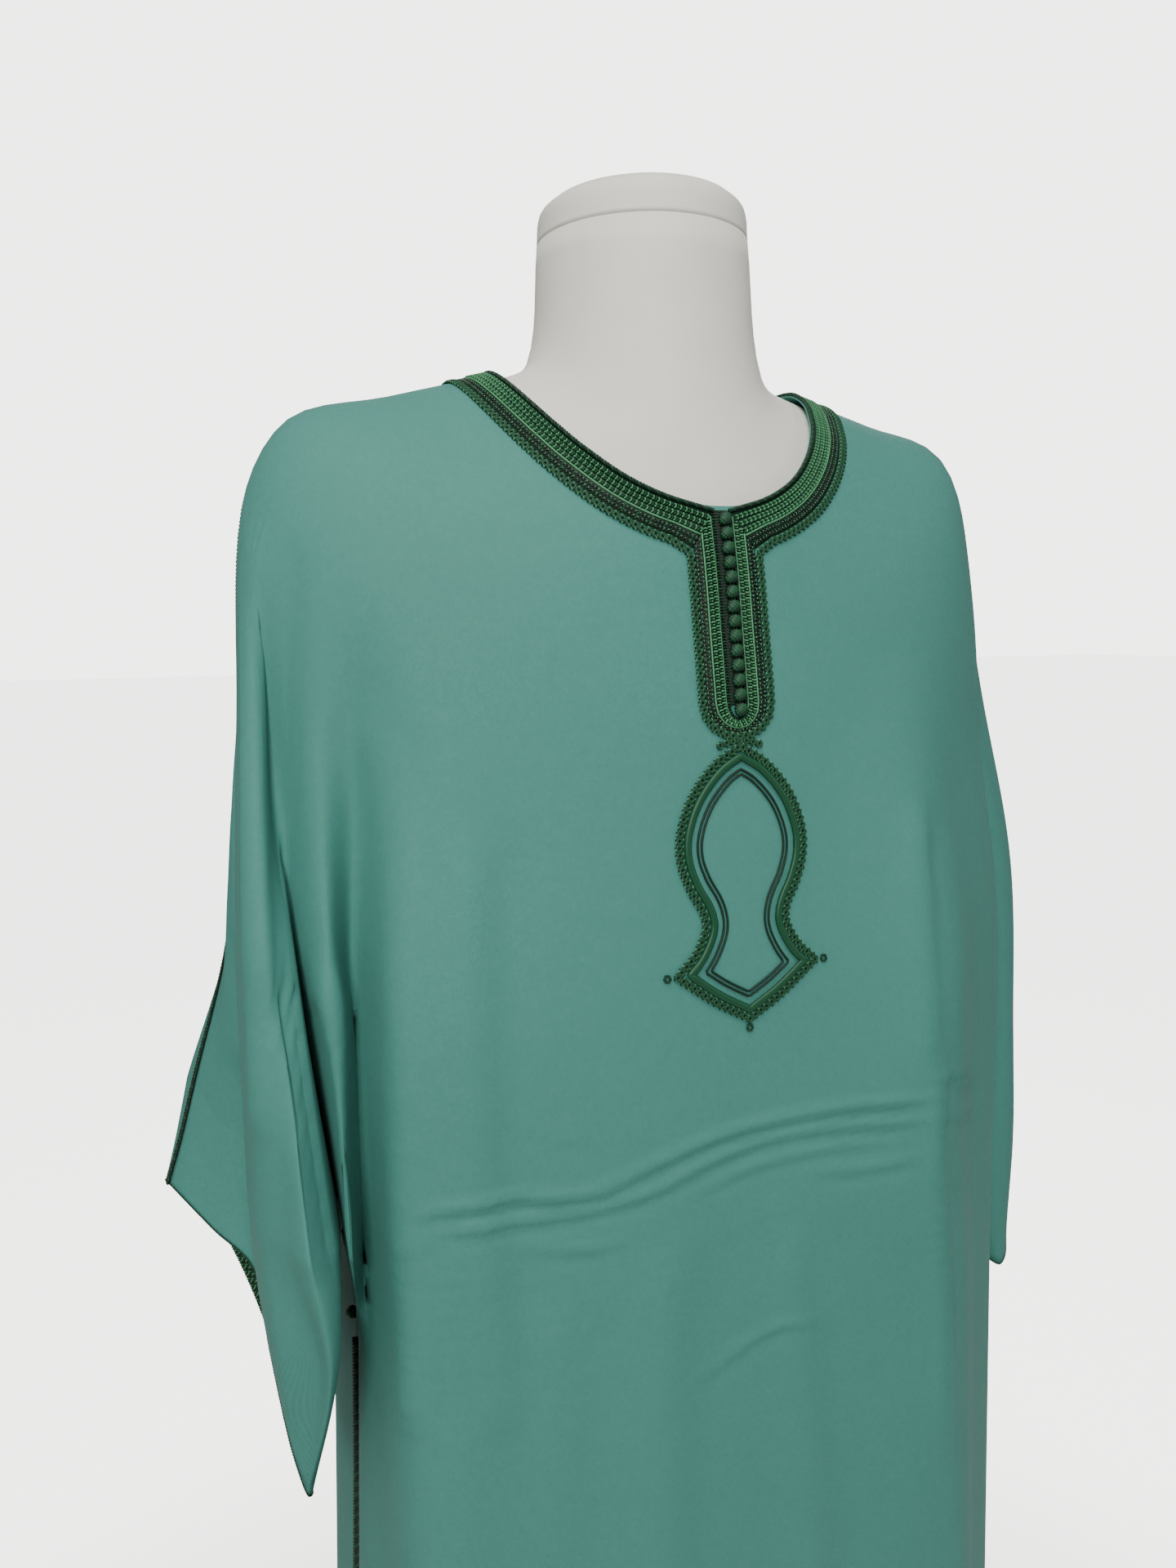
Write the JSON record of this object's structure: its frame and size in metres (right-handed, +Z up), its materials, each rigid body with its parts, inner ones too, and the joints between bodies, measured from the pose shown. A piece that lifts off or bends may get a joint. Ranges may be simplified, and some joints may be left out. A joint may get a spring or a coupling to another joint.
{
  "type": "djellaba robe on dress form stand",
  "caption": "Long loose robe with wide sleeves, braided neck and placket, standing on a limbless dress form.",
  "frame": {"origin": "middle of the underside of the stand's base, on the floor", "axes": "+Z up, the robe faces -Y, the wearer's left is +X"},
  "size_m": [0.5847, 0.342, 1.5597],
  "materials": {
    "cloth": "twill",
    "braid": "silk braid",
    "form": "matte",
    "metal": "satin"
  },
  "bodies": {
    "root": {"front": "cloth", "back": "cloth", "neck_braid": "braid", "neck_picot": "braid", "placket_braid": "braid", "placket_picot": "braid", "placket_strip": "braid", "motif_cord": "braid", "motif_line": "braid", "motif_picot": "braid", "motif_knot_near": "braid", "motif_knot_foot": "braid", "motif_knot_far": "braid", "overarm_cord_near": "braid", "overarm_cord_far": "braid", "cuff_braid_near": "braid", "cuff_braid_far": "braid", "side_cord_near": "braid", "side_cord_far": "braid", "lower_side_cord_near": "braid", "lower_side_cord_far": "braid", "slit_knot_near": "braid", "slit_knot_far": "braid", "slit_cord_near_front": "braid", "slit_cord_near_back": "braid", "slit_cord_far_front": "braid", "slit_cord_far_back": "braid", "button_01": "braid", "button_02": "braid", "button_03": "braid", "button_04": "braid", "button_05": "braid", "button_06": "braid", "button_07": "braid", "button_08": "braid", "button_09": "braid", "button_10": "braid", "button_11": "braid", "button_12": "braid", "button_13": "braid", "button_14": "braid", "form_torso": "form", "form_cap": "form", "form_pole": "metal", "form_base": "metal"}
  },
  "joints": []
}
